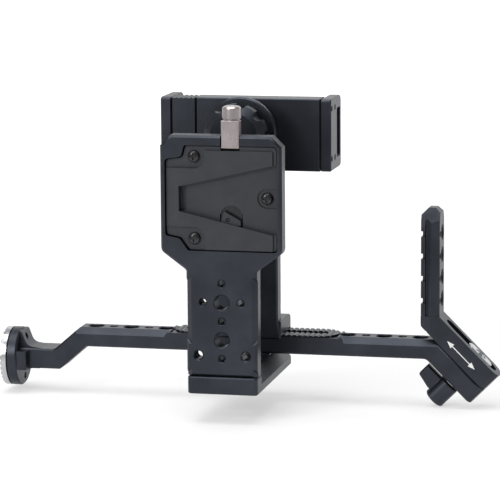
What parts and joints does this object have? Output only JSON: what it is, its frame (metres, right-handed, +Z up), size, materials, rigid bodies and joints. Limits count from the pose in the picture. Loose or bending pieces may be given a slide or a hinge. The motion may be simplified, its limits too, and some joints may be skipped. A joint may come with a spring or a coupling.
{
  "type": "cinema camera accessory rig",
  "caption": "Dark anodised camera accessory rig with a battery plate, a toothed steel rosette on a sliding crossbar, an angled rail bracket and a turning device clamp.",
  "frame": {"origin": "base_underside", "axes": "+Z up, +X right seen from the battery plate's side, +Y from the battery plate to the clamp"},
  "size_m": [0.2789, 0.0968, 0.1687],
  "materials": {
    "anodised_aluminium": "bead blasted and anodised dark grey",
    "moulded_nylon": "glass filled, moulded, fine grain",
    "bright_steel": "machined, bright",
    "button_steel": "brushed along its length",
    "black_steel": "black oxide",
    "rubber_pad": "matt moulded"
  },
  "bodies": {
    "frame": {"base_plate": "anodised_aluminium", "battery_bracket": "anodised_aluminium", "battery_plate": "moulded_nylon", "battery_plate_screw_1": "black_steel", "battery_plate_screw_2": "black_steel", "battery_plate_screw_3": "black_steel", "release_spring": "bright_steel", "bracket_screw_1": "black_steel", "bracket_screw_2": "black_steel", "rear_post": "anodised_aluminium", "post_screw_1": "black_steel", "post_screw_2": "black_steel"},
    "release": {"release_button": "button_steel", "battery_latch": "moulded_nylon", "latch_pin": "black_steel"},
    "crossbar": {"crossbar": "anodised_aluminium", "rosette_ring": "bright_steel", "rosette_screw_1": "black_steel", "rosette_screw_2": "black_steel", "rosette_bush": "bright_steel", "slot_block": "bright_steel", "clamp_screw": "bright_steel", "knob_washer": "bright_steel"},
    "device_clamp": {"clamp_body": "anodised_aluminium", "pivot_bolt": "black_steel", "device_rest": "rubber_pad", "right_jaw": "anodised_aluminium", "right_jaw_screw_1": "black_steel", "right_jaw_screw_2": "black_steel", "right_jaw_screw_3": "black_steel", "right_jaw_screw_4": "black_steel"},
    "clamp_jaw": {"left_jaw": "anodised_aluminium", "jaw_slider": "anodised_aluminium", "guide_rod_1": "bright_steel", "guide_rod_2": "bright_steel", "left_jaw_screw_1": "black_steel", "left_jaw_screw_2": "black_steel", "left_jaw_screw_3": "black_steel", "left_jaw_screw_4": "black_steel"},
    "side_bracket": {"side_bracket": "anodised_aluminium"},
    "wing_knob": {"wing_knob": "anodised_aluminium"},
    "lock_wheel": {"lock_wheel": "anodised_aluminium"}
  },
  "joints": [
    {"name": "release_slide", "type": "slide", "parent": "frame", "child": "release", "axis": [0, 0, -1], "range_m": [0, 0.003], "stiffness_N_per_m": 600, "springref_m": -0.002, "deforming": ["release_spring"]},
    {"name": "crossbar_slide", "type": "slide", "parent": "frame", "child": "crossbar", "axis": [1, 0, 0], "range_m": [-0.03, 0.024]},
    {"name": "clamp_turn", "type": "hinge", "parent": "frame", "child": "device_clamp", "pos_m": [0, 0.028, 0.133], "axis": [0, 1, 0], "range_deg": [-90, 90]},
    {"name": "jaw_slide", "type": "slide", "parent": "device_clamp", "child": "clamp_jaw", "axis": [-1, 0, 0], "range_m": [0, 0.022]},
    {"name": "bracket_slide", "type": "slide", "parent": "crossbar", "child": "side_bracket", "axis": [0.7071, 0, -0.7071], "range_m": [-0.003, 0.017]},
    {"name": "knob_turn", "type": "hinge", "parent": "crossbar", "child": "wing_knob", "pos_m": [0.1065, 0.0245, -0.0075], "axis": [0.7071, 0, 0.7071], "continuous": true},
    {"name": "wheel_turn", "type": "hinge", "parent": "frame", "child": "lock_wheel", "pos_m": [0, -0.004, 0.133], "axis": [0, 1, 0], "continuous": true}
  ]
}
